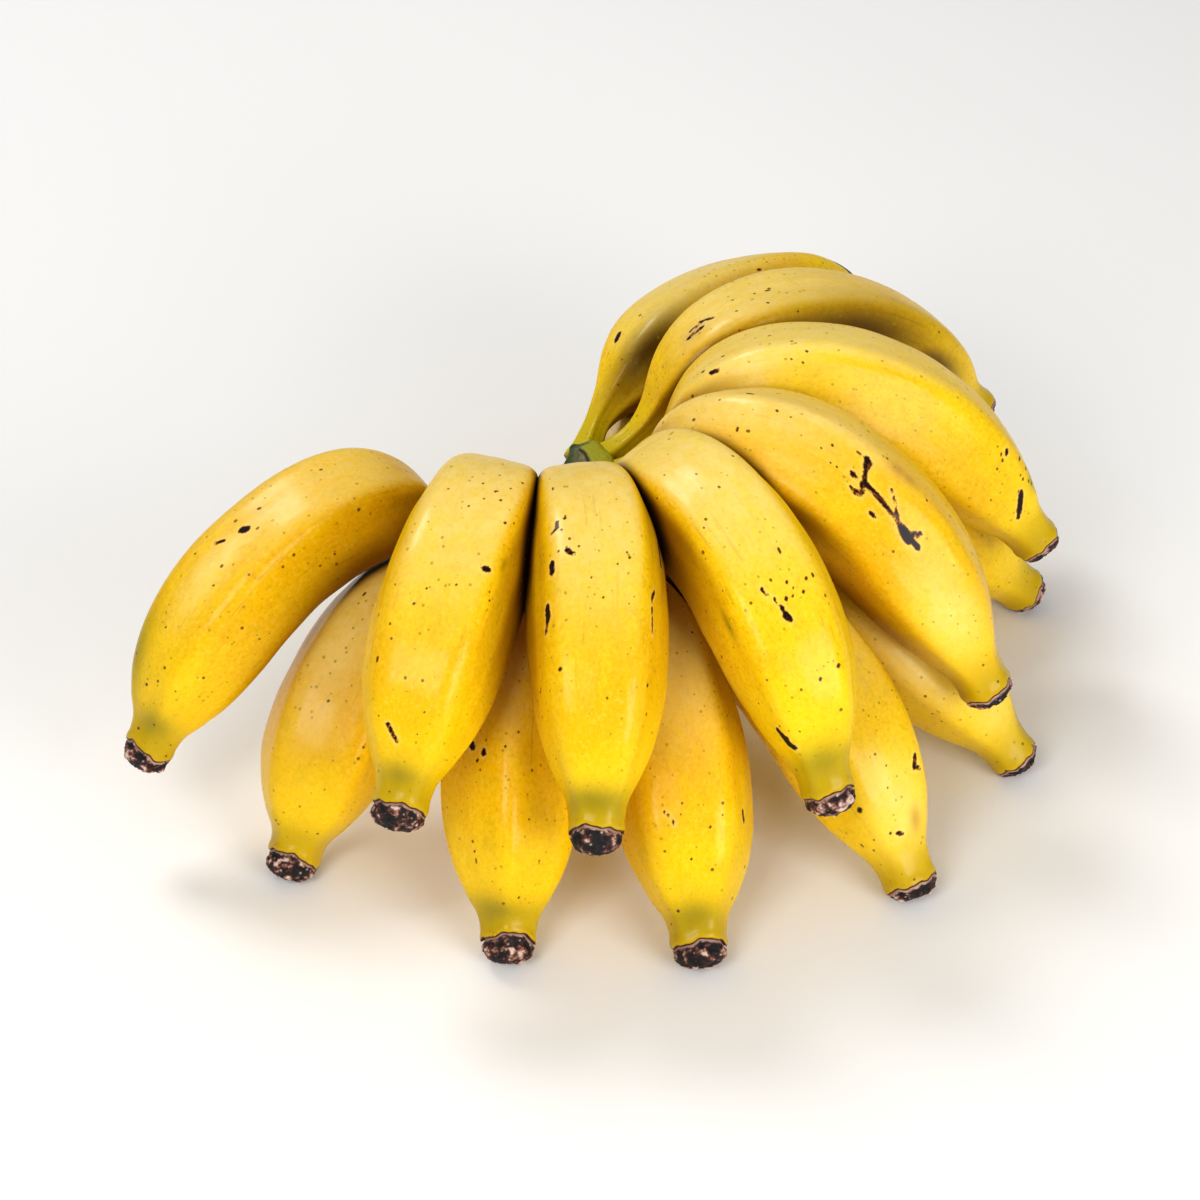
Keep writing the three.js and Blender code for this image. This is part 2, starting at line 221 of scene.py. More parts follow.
# Scars where leaves and other fruits rubbed, drawn as strokes. Each goes from a share of the fruit's
# length and an angle round it from the top, to a share and an angle, and has a width in millimetres.
SCARS = {
    "upper_1": [
        (0.538, -5, 0.543, -2, 2), (0.576, 4, 0.588, 9, 0.9),
    ],
    "upper_2": [
        (0.573, -34, 0.573, -38, 1.3), (0.842, 12, 0.868, 2, 1),
    ],
    "upper_3": [
        (0.481, 30, 0.492, 30, 1), (0.492, 30, 0.5, 35, 0.7), (0.492, 30, 0.5, 26, 0.7),
        (0.532, 25, 0.54, 20, 1.1), (0.552, 39, 0.568, 39, 1.5), (0.62, 45, 0.638, 44, 2),
        (0.638, 44, 0.662, 46, 1.1), (0.586, -56, 0.598, -51, 1.1), (0.602, -49, 0.61, -48, 0.8),
        (0.618, -48, 0.628, -47, 1), (0.634, -48, 0.644, -49, 0.8), (0.648, -50, 0.662, -51, 0.8),
        (0.466, -78, 0.512, -80, 1.7),
    ],
    "upper_4": [
        (0.638, 27, 0.65, 25, 0.9), (0.656, 22, 0.672, 19, 0.8), (0.672, 19, 0.682, 17, 1.1),
        (0.682, 17, 0.69, 14, 1.5), (0.858, 70, 0.868, 67, 1.6), (0.868, 67, 0.884, 64, 2.2),
        (0.884, 64, 0.893, 58, 1.6), (0.874, 60, 0.884, 64, 1),
    ],
    "upper_5": [
        (0.538, 18, 0.545, 20, 1.4), (0.54, 18, 0.558, 35, 1), (0.558, 35, 0.566, 38, 0.9),
        (0.56, 34, 0.606, 37, 1.3), (0.606, 37, 0.64, 39, 1), (0.645, 38, 0.662, 40, 2.6),
        (0.655, 38, 0.667, 29, 1.2), (0.66, 39, 0.682, 39, 1.4), (0.678, 39, 0.682, 39, 1.8),
        (0.534, 31, 0.541, 32, 1.2), (0.547, 42, 0.56, 45, 0.7), (0.558, 42, 0.568, 43, 0.7),
        (0.592, 48, 0.6, 48, 1), (0.593, 24, 0.613, 30, 0.5), (0.618, 32, 0.63, 35, 0.7),
    ],
    "upper_6": [
        (0.773, 30, 0.777, 32, 1.2), (0.868, 47, 0.894, 60, 2), (0.894, 61, 0.904, 67, 1.3),
        (0.862, 42, 0.868, 46, 1.1), (0.268, 24, 0.278, 26, 1.1),
    ],
    "upper_7": [
        (0.293, -3, 0.309, 6, 0.7), (0.262, 3, 0.29, 7, 0.8), (0.27, -1, 0.296, 2, 0.6),
        (0.787, -5, 0.795, -2, 1.4),
    ],
    "upper_8": [
        (0.25, -36, 0.262, -38, 1.8), (0.7, -10, 0.73, -8, 1.3), (0.75, -8, 0.78, -3, 1.7),
        (0.788, -4, 0.83, 3, 2.2), (0.825, -6, 0.835, -10, 1.2), (0.84, 4, 0.885, 9, 2.8),
        (0.875, 14, 0.9, 18, 1.6), (0.905, 4, 0.915, 2, 1.4), (0.5, 75, 0.53, 70, 1.2),
    ],
    "lower_2": [
        (0.6, 35, 0.606, 34, 1.8), (0.616, 24, 0.62, 24, 1.5),
    ],
    "lower_3": [
        (0.745, -53, 0.763, -56, 1.4), (0.742, 24, 0.762, 20, 0.5), (0.736, 27, 0.744, 24, 0.5),
    ],
    "lower_4": [
        (0.783, -25, 0.804, -21, 1.1), (0.804, -21, 0.813, -26, 0.9), (0.903, 22, 0.907, 15, 1),
    ],
}

# Round spots: the share of the length, the angle and the width in millimetres.
SPOTS = {
    "upper_1": [
        (0.5, 3, 1.3), (0.86, -6, 1.2), (0.967, -3, 1.2), (0.447, -78, 0.9), (0.64, -21, 0.8),
        (0.747, -3, 0.8), (0.667, -90, 0.8),
    ],
    "upper_2": [
        (0.347, -15, 0.7), (0.307, -24, 0.8), (0.387, -18, 0.7), (0.42, -9, 0.8), (0.387, -39, 0.9),
        (0.433, -24, 1), (0.413, -33, 0.7), (0.453, -15, 0.7), (0.447, -30, 0.9), (0.487, -39, 1),
        (0.473, -6, 0.8), (0.447, 15, 0.7), (0.607, -18, 0.8), (0.627, 3, 0.8), (0.613, -48, 0.8),
        (0.653, 9, 0.9), (0.673, 42, 1), (0.76, 48, 0.7),
    ],
    "upper_3": [
        (0.472, 24, 1.1), (0.533, 31, 0.8), (0.527, 26, 0.7), (0.53, 15, 0.8), (0.547, -27, 0.9),
        (0.56, -18, 0.7), (0.58, 6, 0.7), (0.613, -3, 0.8), (0.72, 30, 1.3), (0.74, -46, 1.2),
    ],
    "upper_4": [
        (0.64, 6, 1.1), (0.647, -9, 1.1), (0.647, -18, 0.9), (0.66, -3, 1.1), (0.66, 12, 1.4),
        (0.65, 1, 0.7), (0.665, 5, 0.8), (0.78, -15, 1.4), (0.793, 6, 1.3), (0.43, 20, 0.8),
    ],
    "upper_5": [
        (0.493, 24, 0.9), (0.5, 36, 0.7), (0.513, 36, 0.8), (0.64, 6, 0.9), (0.407, 18, 0.9),
        (0.56, 3, 0.9), (0.36, 39, 0.7), (0.36, 43, 0.7), (0.48, 30, 0.7), (0.69, -12, 1.2),
    ],
    "upper_6": [
        (0.673, -9, 1), (0.767, 36, 1), (0.813, 24, 0.9), (0.873, 24, 1.2), (0.253, 15, 1.2),
        (0.4, 27, 0.9), (0.393, 36, 0.8), (0.38, 33, 0.7), (0.285, 9, 1.1), (0.78, 39, 1.1),
        (0.813, 21, 1), (0.84, 21, 1.3), (0.847, 33, 1.1), (0.862, 26, 1.1), (0.835, 34, 0.8),
        (0.856, 48, 1.1),
    ],
    "upper_7": [
        (0.74, -12, 1), (0.387, 24, 0.9), (0.353, -3, 0.8), (0.34, 18, 0.8), (0.273, 3, 1),
    ],
    "lower_1": [(0.62, -15, 1)],
    "lower_2": [
        (0.636, 30, 1.2), (0.613, 3, 0.9), (0.587, -6, 0.8), (0.807, 36, 0.9), (0.82, -36, 0.8),
        (0.9, -15, 0.9),
    ],
    "lower_3": [
        (0.727, 9, 0.8), (0.773, -12, 0.9), (0.827, 6, 0.9), (0.927, 36, 1.1), (0.847, -81, 1.1),
    ],
    "lower_4": [
        (0.833, 51, 1.9), (0.813, 66, 1), (0.9, 30, 1), (0.78, 9, 0.8), (0.82, 15, 0.8),
    ],
}

# Patches that stayed green, and brown rubs: the share, the angle, and how far the patch reaches along
# and round the fruit from there, in millimetres.
GREEN_PATCHES = {
    "upper_1": [(0.93, -40, 5, 6), (0.82, 25, 12, 4)],
    "upper_2": [(0.935, -6, 4.5, 6), (0.547, -51, 1.8, 0.9)],
    "upper_3": [(0.94, 4, 4.5, 9)],
    "upper_4": [(0.93, 20, 6, 9), (0.66, 70, 4, 1.2)],
    "lower_2": [(0.93, 25, 4.5, 7)],
    "lower_3": [(0.94, 10, 5, 7)],
    "lower_5": [(0.93, -50, 7, 6)],
    "lower_6": [(0.92, -20, 7, 7)],
    "upper_6": [(0.87, 20, 3, 2)],
}
BROWN_RUBS = {
    "upper_5": [(0.582, 6, 2.4, 2), (0.602, 5, 2.2, 1.8)],
    "upper_7": [(0.275, 4, 3, 2)],
    "lower_4": [(0.893, -12, 3.4, 1.7)],
}
# Painted highlights: pale patches painted where light shines on the skin, on the shoulders and necks.
HIGHLIGHT_PATCHES = {
    "upper_1": [(0.6, -8, 15, 5)],
    "upper_5": [(0.33, 18, 22, 9), (0.82, 48, 12, 7)],
    "upper_6": [(0.31, 22, 16, 7), (0.275, -3, 7, 4)],
    "upper_7": [(0.29, 4, 8, 5)],
    "lower_1": [(0.47, -4, 22, 10)],
    "lower_3": [(0.42, -8, 14, 6)],
    "lower_4": [(0.86, 8, 13, 8)],
    "lower_5": [(0.84, 30, 14, 7), (0.69, 68, 18, 6)],
}

# Painted shadow: flanks painted dark brown where the next fruit shades them.
SHADOWED_FLANKS = {
    "upper_1": [(0.4, -118, 20, 8)],
    "upper_7": [(0.57, 56, 28, 9), (0.76, 64, 14, 5)],
    "upper_8": [(0.25, 27, 15, 6)],
}
# How strongly the upward faces are painted pale as a highlight, and how much of the upper row's painted shade
# the lower row gets.
TOP_HIGHLIGHT = {"upper_1": 0.55}
USUAL_TOP_HIGHLIGHT = 0.9
LOWER_ROW_SHADE = 0.15
STREWN_SPOTS = 6
# Each fruit reads its own stretch of the skin's patterns, this many millimetres from the last one's.
PATTERN_SPACING = 400


def all_spots(name, number):
    """The fruit's own spots as strokes, with a few small ones strewn at random."""
    spots = [(at, turn, at, turn, wide) for at, turn, wide in SPOTS.get(name, [])]
    strewn = random.Random(40 + number)
    for _ in range(STREWN_SPOTS):
        at, turn = strewn.uniform(0.25, 0.92), strewn.uniform(-180, 180)
        spots.append((at, turn, at + strewn.uniform(0, 0.008), turn, strewn.uniform(0.6, 1)))
    return spots


def scar_distance(scars, fruit, share, angle, radius):
    """How far each point of the skin is outside the nearest scar, in millimetres."""
    nearest = np.full(share.shape, 6.0)
    for start, start_turn, end, end_turn, width in scars:
        x = (share - start) * fruit["length"]
        y = radius * ((angle - math.radians(start_turn) + math.pi) % (2 * math.pi) - math.pi)
        closest = np.argmin(x * x + y * y)
        x, y = x - x.flat[closest], y - y.flat[closest]
        run = (end - start) * fruit["length"]
        rise = radius.flat[closest] * math.radians(end_turn - start_turn)
        reached = np.clip((x * run + y * rise) / max(run * run + rise * rise, 1e-9), 0, 1)
        nearest = np.minimum(nearest, np.hypot(x - reached * run, y - reached * rise) - width / 2)
    return nearest


def patch_depth(patches, fruit, share, angle, radius):
    depth = np.zeros(share.shape)
    for at, turn, long, wide in patches:
        x = (share - at) * fruit["length"] / long
        y = radius * ((angle - math.radians(turn) + math.pi) % (2 * math.pi) - math.pi) / wide
        depth = np.maximum(depth, np.exp(-(x * x + y * y)))
    return depth


# How far the skin's torn edge is drawn back on top of the blossom end, in millimetres.
DRAWN_BACK = {
    "upper_1": 1.4, "upper_2": 2.4, "upper_3": 2.6, "upper_4": 1.5,
    "lower_1": 2.6, "lower_2": 3.1, "lower_3": 1.8,
}
USUAL_DRAWN_BACK = 0.3

# How far it reaches over the blossom end all round, on the fruits where only a thin wedge shows.
SKIN_PAST_END = {
    "upper_5": 1.2, "upper_6": 1.4, "upper_7": 1.6, "lower_4": 1.6, "lower_5": 1.7, "lower_6": 1,
}


def edge_shift(name, angle):
    """How far the skin's torn edge stands past the fruit's end at an angle round it from the top."""
    draw = random.Random(name)
    waves = sum(
        size * np.sin(count * angle + draw.uniform(0, 2 * math.pi))
        for count, size in ((3, 0.4), (7, 0.25), (13, 0.12))
    )
    waves += SKIN_PAST_END.get(name, 0)
    return waves - DRAWN_BACK.get(name, USUAL_DRAWN_BACK) * np.maximum(np.cos(angle), 0) ** 1.5


def ridge_wave(angle):
    """About 1 on a fruit's five rounded ridges and -1 on the flats between them."""
    return np.cos(5 * angle) + 0.2 * np.cos(10 * angle)


def skin_mesh(name, number, balls, others):
    fruit = FRUITS[name]
    start = -NECK_IN_CROWN / fruit["length"]
    shares = start + (1 - start) * np.linspace(0, 1, FRUIT_RINGS + 1)
    turned = 2 * math.pi * np.arange(FRUIT_SIDES) / FRUIT_SIDES
    share, ridge_angle = np.meshgrid(shares, turned, indexing="ij")
    angle = ridge_angle + math.radians(fruit["turn"])
    along = share * fruit["length"]

    draw = random.Random(number)
    phases = [draw.uniform(0, 2 * math.pi) for _ in range(6)]
    radius = fruit["radius"] * read_outline(FRUIT_OUTLINE, share)
    flare = 1 + ROOT_FLARE * np.exp(-((share - start) * fruit["length"] / ROOT_FLARE_LENGTH) ** 2)
    ridged = np.interp(share, [0, 0.1, 0.3, 0.7, 0.9, 1], [0.08, 0.09, 0.06, 0.056, 0.055, 0.02])
    lumps = 0.2 * np.sin(11 * share + phases[0]) * np.cos(2 * angle + phases[1])
    lumps += 0.13 * np.sin(23 * share + phases[2]) * np.cos(3 * angle + phases[3])
    lumps += 0.06 * np.sin(51 * share + phases[4]) * np.cos(4 * angle + phases[5])
    lumps *= np.minimum(1, radius / 12)
    reach = radius * flare * (1 + ridged * ridge_wave(ridge_angle)) + lumps

    # The skin's edge round the blossom end has a low lip.
    at_edge = smooth((share - 0.9) / 0.1)
    reach = reach + LIP_HEIGHT * np.exp(-((share - 0.992) * fruit["length"] / LIP_WIDTH) ** 2)

    forward, up, side = (d[:, None] for d in directions_along(fruit, shares))
    outward = up * np.cos(angle)[..., None] + side * np.sin(angle)[..., None]
    centres = middle_line(fruit, shares)[:, None] + np.zeros_like(outward)
    flat = press(balls, others, centres.reshape(-1, 3), outward.reshape(-1, 3), reach.ravel())
    rings = centres + outward * flat.reshape(reach.shape)[..., None]
    beside = np.min([distance_to(other, rings.reshape(-1, 3)) for other in others], 0)
    rings = rings + forward * (at_edge * edge_shift(name, angle))[..., None]
    faced = np.cross(np.gradient(rings, axis=0), np.roll(rings, -1, 1) - np.roll(rings, 1, 1))
    facing_up = -faced[..., 2] / np.linalg.norm(faced, axis=-1)

    # Past its edge the skin turns in round the dried tip.
    end, inward = rings[-1], rings[-1] - centres[-1]
    turned_in = [end - inward * 0.08 - forward[-1] * 0.25, end - inward * 0.25 - forward[-1] * 1.2]
    rings = np.concatenate([rings, np.array(turned_in)])
    rings[..., 2] = np.maximum(rings[..., 2], 0)

    def with_turned_in(values):
        return np.concatenate([values, values[-1:], values[-1:]])

    mesh = closed_tube(f"skin_{name}", rings)
    skin = (fruit, share, angle, radius)

    # The upward faces are painted pale as a highlight, away from both ends, and the downward faces beside
    # another fruit are painted darker as shade.
    painted_highlight = TOP_HIGHLIGHT.get(name, USUAL_TOP_HIGHLIGHT) * smooth((facing_up - 0.6) / 0.35)
    painted_highlight *= smooth((share - 0.08) / 0.12) * smooth((0.85 - share) / 0.45)
    painted_highlight = np.maximum(painted_highlight, patch_depth(HIGHLIGHT_PATCHES.get(name, []), *skin))
    beside = np.clip(beside, 0, 20).reshape(share.shape)
    # Painted shade: faces that look down beside another fruit are darkened, less on the lower row.
    painted_shade = smooth((18 - beside) / 16) * smooth((0.6 - facing_up) / 0.6)
    painted_shade *= 1 if name.startswith("upper") else LOWER_ROW_SHADE
    straight = np.stack(
        [radius * np.cos(angle), radius * np.sin(angle), along + PATTERN_SPACING * number], -1
    )
    paint(mesh, "straightened_mm", with_turned_in(straight).reshape(-1, 3))
    for attribute, values in {
        "from_crown_mm": along,
        "to_edge_mm": fruit["length"] - along,
        "scar_mm": scar_distance(SCARS.get(name, []), *skin),
        "spot_mm": scar_distance(all_spots(name, number), *skin),
        "green_patch": patch_depth(GREEN_PATCHES.get(name, []), *skin),
        "brown_rub": patch_depth(BROWN_RUBS.get(name, []), *skin),
        "painted_flank_shadow": patch_depth(SHADOWED_FLANKS.get(name, []), *skin),
        "gap_mm": beside,
        "painted_shade": painted_shade,
        "painted_highlight": painted_highlight,
    }.items():
        paint(mesh, attribute, with_turned_in(values).ravel())
    paint(mesh, "golden", np.full(rings.shape[0] * FRUIT_SIDES, draw.uniform(0, 1)))
    return mesh


def srgb(hex_colour):
    """An sRGB hex colour as linear red, green, blue and alpha."""
    channels = [int(hex_colour[i:i + 2], 16) / 255 for i in (1, 3, 5)]
    return [c / 12.92 if c <= 0.04045 else ((c + 0.055) / 1.055) ** 2.4 for c in channels] + [1]


def add(tree, kind, inputs=None, **settings):
    """Adds a shader node, sets its properties, and links or sets its inputs."""
    node = tree.nodes.new(kind)
    for key, value in settings.items():
        setattr(node, key, value)
    for key, value in (inputs or {}).items():
        if isinstance(value, bpy.types.NodeSocket):
            tree.links.new(value, node.inputs[key])
        else:
            node.inputs[key].default_value = value
    return node


def banana_skin():
    """Ripe banana peel: a waxy skin with a soft gloss, yellow, greener at its ends and freckled."""
    material = bpy.data.materials.new("banana_skin")
    material.use_nodes = True
    tree = material.node_tree
    tree.nodes.clear()

    # What the mesh says at each point of the skin.
    at = {
        name: add(tree, "ShaderNodeAttribute", attribute_name=name).outputs["Fac"]
        for name in (
            "from_crown_mm", "to_edge_mm", "gap_mm", "scar_mm", "spot_mm", "green_patch", "brown_rub",
            "painted_flank_shadow", "painted_shade", "painted_highlight", "golden",
        )
    }
    straight = add(tree, "ShaderNodeAttribute", attribute_name="straightened_mm").outputs["Vector"]

    # Patterns on the straightened fruit: how far each is drawn out along it, its cells a millimetre,
    # its detail and its roughness. Clouds are 25 mm across, blotches 8 mm, mottling 3 mm and pores
    # half a millimetre. Hairline rubs run along the fruit and are a few tenths of a millimetre wide.
    for name, drawn_out, scale, detail, roughness in (
        ("clouds", 1, 0.04, 3, 0.5),
        ("blotches", 1, 0.13, 4, 0.6),
        ("mottling", 1, 0.32, 4, 0.6),
        ("streaks", 0.12, 0.25, 4, 0.6),
        ("hairlines", 0.06, 0.8, 4, 0.6),
        ("fine_grain", 1, 0.9, 5, 0.7),
        ("long_grain", 0.08, 0.9, 3, 0.5),
        ("ragged", 1, 1.1, 4, 0.65),
        ("pores", 1, 1.6, 2, 0.5),
    ):
        place = add(tree, "ShaderNodeVectorMath", {0: straight, 1: (1, 1, drawn_out)}, operation="MULTIPLY")
        pattern = add(tree, "ShaderNodeTexNoise", {
            "Vector": place.outputs[0], "Scale": scale, "Detail": detail, "Roughness": roughness,
        })
        at[name] = pattern.outputs["Fac"]

    # Freckles: fine olive dots half a millimetre across, and fewer brown ones up to 1 mm.
    for name, scale, rarity, widest in (("olive_dots", 0.5, 0.25, 0.22), ("brown_dots", 0.3, 0.4, 0.16)):
        cells = add(tree, "ShaderNodeTexVoronoi", {"Vector": straight, "Scale": scale})
        pick = add(tree, "ShaderNodeSeparateColor", {0: cells.outputs["Color"]})
        size = add(tree, "ShaderNodeMapRange", {
            "Value": pick.outputs[0], "From Min": rarity, "From Max": 1, "To Min": 0, "To Max": widest,
        }, interpolation_type="SMOOTHSTEP")
        inside = add(tree, "ShaderNodeMath", {0: size.outputs[0], 1: cells.outputs["Distance"]},
                     operation="SUBTRACT")
        at[name] = inside.outputs[0]

    # Sums of the values above, each from a starting number. The green ends wander by up to 7 mm with
    # the clouds, and the scars' and the torn edge's outlines are ragged.
    for name, total, parts in (
        ("tone", 0, (("clouds", 0.9), ("streaks", 0.4), ("golden", 0.3), ("mottling", 0.35))),
        ("from_neck", -7, (("clouds", 14), ("from_crown_mm", 1))),
        ("from_tip", -7, (("clouds", 14), ("to_edge_mm", 1))),
        ("scar", -0.55, (("ragged", 1.1), ("scar_mm", 1))),
        ("edge", -0.22, (("ragged", 0.44), ("to_edge_mm", 1))),
    ):
        for part, weight in parts:
            inputs = {0: at[part], 1: weight, 2: total}
            total = add(tree, "ShaderNodeMath", inputs, operation="MULTIPLY_ADD").outputs[0]
        at[name] = total

    # Where the painted highlight lies, the mottling still shows through.
    mottled = add(tree, "ShaderNodeMapRange", {
        "Value": at["mottling"], "From Min": 0.3, "From Max": 0.7, "To Min": 0.5, "To Max": 0.85,
    }, interpolation_type="SMOOTHSTEP")
    pale = add(tree, "ShaderNodeMath", {0: at["painted_highlight"], 1: mottled.outputs[0]}, operation="MULTIPLY")
    at["pale"] = pale.outputs[0]

    # The coats of colour, each over the last. As its value goes from the first number to the second,
    # its cover goes from the third to the fourth.
    colour = srgb("#F8CF0C")
    for name, low, high, at_low, at_high, shade in (
        ("tone", 0.6, 1.3, 0, 1, "#EDB602"),
        ("blotches", 0.5, 0.72, 0, 0.3, "#C9A614"),
        ("fine_grain", 0.48, 0.72, 0, 0.42, "#BF8C08"),
        ("fine_grain", 0.3, 0.48, 0.22, 0, "#FCE68C"),
        ("hairlines", 0.62, 0.7, 0, 0.4, "#B98A1C"),
        # Painted highlight: the upward faces and the pale patches are painted pale cream.
        ("pale", 0, 1, 0, 1, "#FBE08A"),
        # Green stays longest at the neck and at the blossom end, with lemon yellow beyond it.
        ("from_neck", 3, 24, 0.65, 0, "#BDB510"),
        ("from_tip", 12, 46, 0.3, 0, "#F4D604"),
        ("from_tip", 2, 15, 0.75, 0, "#B4970A"),
        ("green_patch", 0, 1, 0, 0.68, "#7E7510"),
        ("brown_rub", 0, 1, 0, 0.6, "#B07A3C"),
        # Painted shade: the creases where the fruits press on each other are darkened, near black where they
        # touch, and so are the shadowed flanks and the downward faces beside another fruit.
        ("gap_mm", 0.3, 5, 0.45, 0, "#B98202"),
        ("painted_flank_shadow", 0, 1, 0, 0.92, "#452902"),
        ("painted_shade", 0, 1, 0, 0.9, "#845202"),
        ("gap_mm", 0.1, 3.6, 0.95, 0, "#2E1403"),
        ("olive_dots", 0, 0.04, 0, 0.6, "#A08410"),
        ("brown_dots", 0, 0.04, 0, 0.85, "#6E4A0C"),
        # Spots are brown, and darker in the middle where they are large.
        ("spot_mm", -0.25, 0.12, 0.95, 0, "#60380C"),
        ("spot_mm", -0.55, -0.2, 1, 0, "#2C130E"),
        # Scars are corky and near black, with a brown rim and a pale halo round it.
        ("scar", 0.3, 1.2, 0.16, 0, "#FBE6A0"),
        ("scar", -0.1, 0.25, 1, 0, "#7A4410"),
        ("scar", -0.3, 0, 1, 0, "#1C0A0C"),
        ("scar", -1.1, -0.6, 1, 0, "#0B080F"),
        # The torn edge has dried to a thin maroon line.
        ("edge", 0.15, 0.6, 1, 0, "#431510"),
    ):
        is_share = name in ("pale", "green_patch", "brown_rub", "painted_flank_shadow", "painted_shade")
        cover = add(tree, "ShaderNodeMapRange", {
            "Value": at[name], "From Min": low, "From Max": high, "To Min": at_low, "To Max": at_high,
        }, interpolation_type="LINEAR" if is_share else "SMOOTHSTEP")
        coat = {0: cover.outputs[0], 6: colour, 7: srgb(shade)}
        colour = add(tree, "ShaderNodeMix", coat, data_type="RGBA").outputs[2]

    # Scars stand up and are dull. The wax is glossier in some clouds than in others.
    for name, value, low, high, at_low, at_high in (
        ("scar_relief", "scar", -0.5, 0.4, 1, 0),
        ("scar_dullness", "scar", -0.2, 0.2, 0.3, 0),
        ("wax_dullness", "clouds", 0.3, 0.7, 0.4, 0.5),
    ):
        eased = add(tree, "ShaderNodeMapRange", {
            "Value": at[value], "From Min": low, "From Max": high, "To Min": at_low, "To Max": at_high,
        }, interpolation_type="SMOOTHSTEP")
        at[name] = eased.outputs[0]
    height = at["scar_relief"]
    for part, weight in (("pores", 0.3), ("long_grain", 0.7)):
        inputs = {0: at[part], 1: weight, 2: height}
        height = add(tree, "ShaderNodeMath", inputs, operation="MULTIPLY_ADD").outputs[0]
    bump = add(tree, "ShaderNodeBump", {"Height": height, "Strength": 0.3, "Distance": 0.0003})
    rough = add(tree, "ShaderNodeMath", {0: at["wax_dullness"], 1: at["scar_dullness"]}, operation="ADD")

    shader = add(tree, "ShaderNodeBsdfPrincipled", {
        "Base Color": colour,
        "Roughness": rough.outputs[0],
        "Normal": bump.outputs[0],
        "IOR": 1.45,
        "Specular IOR Level": 0.12,
        "Coat Weight": 0.3,
        "Coat Roughness": 0.2,
        "Subsurface Weight": 0.1,
        "Subsurface Radius": (1.0, 0.5, 0.06),
        "Subsurface Scale": 0.003,
    })
    add(tree, "ShaderNodeOutputMaterial", {"Surface": shader.outputs[0]})
    return material


peel = banana_skin()
all_balls = {name: fill_with_balls(fruit) for name, fruit in FRUITS.items()}
for number, name in enumerate(FRUITS):
    others = [all_balls[other] for other in FRUITS if other != name]
    near = [
        balls for balls in others
        if distance_to(balls, all_balls[name][0]).min() < FRUITS[name]["radius"] + NEAR_ENOUGH_TO_PRESS
    ]
    mesh = skin_mesh(name, number, all_balls[name], near)
    place_piece(f"skin_{name}", mesh, peel, f"banana_{name}")

# The blossom ends.
# What is left of each flower: a short plug of dead tissue at the fruit's tip, dried dark and
# crumbly, with a pale pinkish rim where it broke from the skin. The bunch stands on four of them.

TIP_LENGTH = 5
TIP_OUTLINE = [(-0.8, 0.86), (0, 0.92), (0.3, 0.95), (0.6, 0.87), (0.83, 0.7), (1, 0.46)]
TIP_SIDES = 72
TIP_RINGS = 36
TIP_CAP_RINGS = 8


def tip_mesh(name, number):
    fruit = FRUITS[name]
    one = np.ones(1)
    forward, up, side = (d[0] for d in directions_along(fruit, one))
    base = middle_line(fruit, one)[0]
    skin_radius = fruit["radius"] * FRUIT_OUTLINE[-1][1]
    turned = 2 * math.pi * np.arange(TIP_SIDES) / TIP_SIDES
    around = up * np.cos(turned)[:, None] + side * np.sin(turned)[:, None]
    inside, last_width = TIP_OUTLINE[0][0], TIP_OUTLINE[-1][1]
    walls = [(share, read_outline(TIP_OUTLINE, share)) for share in np.linspace(inside, 1, TIP_RINGS)]
    cap = [
        (1 + 0.05 * k / TIP_CAP_RINGS, last_width * (1 - k / TIP_CAP_RINGS))
        for k in range(1, TIP_CAP_RINGS)
    ]
    rings, height, from_skin = [], [], []
    for share, width in walls + cap:
        ring = []
        for angle, direction in zip(turned, around):
            spot = base + direction * skin_radius * width + forward * share * TIP_LENGTH
            past_edge = share * TIP_LENGTH - edge_shift(name, angle)
            seed = Vector(spot) + Vector((31.7 * number, 0, 0))
            lumps = noise.noise(seed * 0.36) + 0.55 * noise.noise(seed * 0.9)
            lumps += 0.3 * noise.noise(seed * 2.1)
            fibres = noise.noise(Vector((4 * math.cos(angle), 4 * math.sin(angle), share + 7 * number)))
            raised = lumps + 0.5 * fibres
            rim = 0.35 * math.exp(-((past_edge - 0.8) / 0.45) ** 2)
            outward = direction * min(1, width * 1.4) + forward * max(share, 0) * 0.6
            ring.append(spot + outward * (rim + 0.85 * raised * float(smooth((past_edge - 0.3) / 1.6))))
            height.append(raised)
            from_skin.append(past_edge)
        rings.append(ring)
    rings = np.array(rings)
    rings[..., 2] = np.maximum(rings[..., 2], 0)
    mesh = closed_tube(f"dried_tip_{name}", rings)
    paint(mesh, "raised", height)
    paint(mesh, "past_edge_mm", from_skin)
    return mesh


